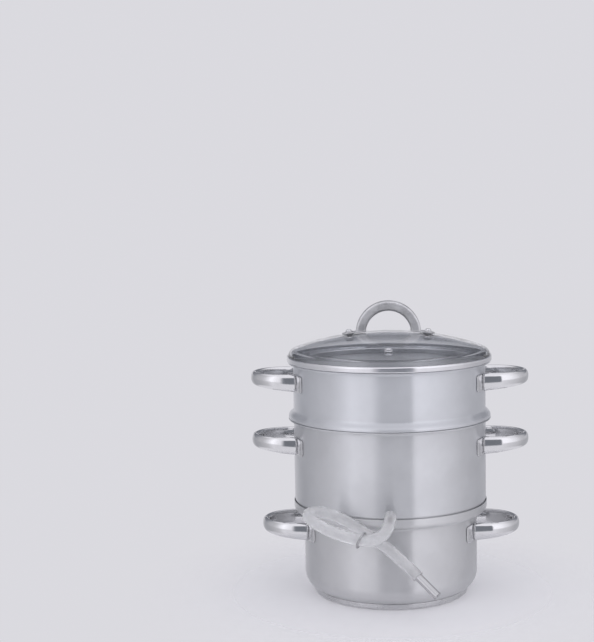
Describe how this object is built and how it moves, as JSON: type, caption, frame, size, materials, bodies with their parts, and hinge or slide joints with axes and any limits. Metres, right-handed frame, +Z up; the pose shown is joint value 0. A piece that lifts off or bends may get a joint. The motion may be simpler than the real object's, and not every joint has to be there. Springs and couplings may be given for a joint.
{
  "type": "steam juicer",
  "caption": "Stacked stove-top steam juicer: water pan, juice kettle with central steam cone and outlet hose, perforated fruit basket and a domed glass lid with an arched handle.",
  "frame": {"origin": "centre of the base's underside, on the table", "axes": "+Z up along the axis of the tiers, -Y towards the outlet spout and hose, +X and -X towards the side handles"},
  "size_m": [0.3466, 0.3147, 0.3666],
  "materials": {
    "satin_steel": "satin stainless steel",
    "polished_steel": "polished stainless steel",
    "spring_wire": "plain drawn wire",
    "aluminium_core": "plain",
    "clear_glass": "clear tempered glass",
    "clear_silicone": "translucent milky silicone",
    "seal_silicone": "translucent silicone"
  },
  "bodies": {
    "water_pan": {"water_pan_body": "satin_steel", "base_cap": "satin_steel", "base_core_disc": "aluminium_core", "water_pan_handle_left": "polished_steel", "water_pan_handle_plate_left_front": "polished_steel", "water_pan_handle_plate_left_back": "polished_steel", "water_pan_handle_right": "polished_steel", "water_pan_handle_plate_right_front": "polished_steel", "water_pan_handle_plate_right_back": "polished_steel"},
    "juice_kettle": {"kettle_body": "satin_steel", "steam_cone": "satin_steel", "spout": "polished_steel", "juice_hose": "clear_silicone", "hose_clip": "spring_wire", "hose_end_pipe": "polished_steel", "kettle_handle_left": "polished_steel", "kettle_handle_plate_left_front": "polished_steel", "kettle_handle_plate_left_back": "polished_steel", "kettle_handle_right": "polished_steel", "kettle_handle_plate_right_front": "polished_steel", "kettle_handle_plate_right_back": "polished_steel"},
    "fruit_basket": {"basket_body": "satin_steel", "basket_handle_left": "polished_steel", "basket_handle_plate_left_front": "polished_steel", "basket_handle_plate_left_back": "polished_steel", "basket_handle_right": "polished_steel", "basket_handle_plate_right_front": "polished_steel", "basket_handle_plate_right_back": "polished_steel"},
    "lid": {"lid_glass": "clear_glass", "lid_rim_band": "polished_steel", "lid_handle_arch": "polished_steel", "steam_vent_eyelet": "polished_steel", "lid_bolt_left": "polished_steel", "lid_washer_left": "polished_steel", "lid_seal_left": "seal_silicone", "lid_nut_left": "polished_steel", "lid_bolt_right": "polished_steel", "lid_washer_right": "polished_steel", "lid_seal_right": "seal_silicone", "lid_nut_right": "polished_steel"}
  },
  "joints": [
    {"name": "kettle_lift", "type": "slide", "parent": "water_pan", "child": "juice_kettle", "axis": [0, 0, 1], "range_m": [0, 0.15]},
    {"name": "basket_lift", "type": "slide", "parent": "juice_kettle", "child": "fruit_basket", "axis": [0, 0, 1], "range_m": [0, 0.15]},
    {"name": "lid_lift", "type": "slide", "parent": "fruit_basket", "child": "lid", "axis": [0, 0, 1], "range_m": [0, 0.15]}
  ]
}
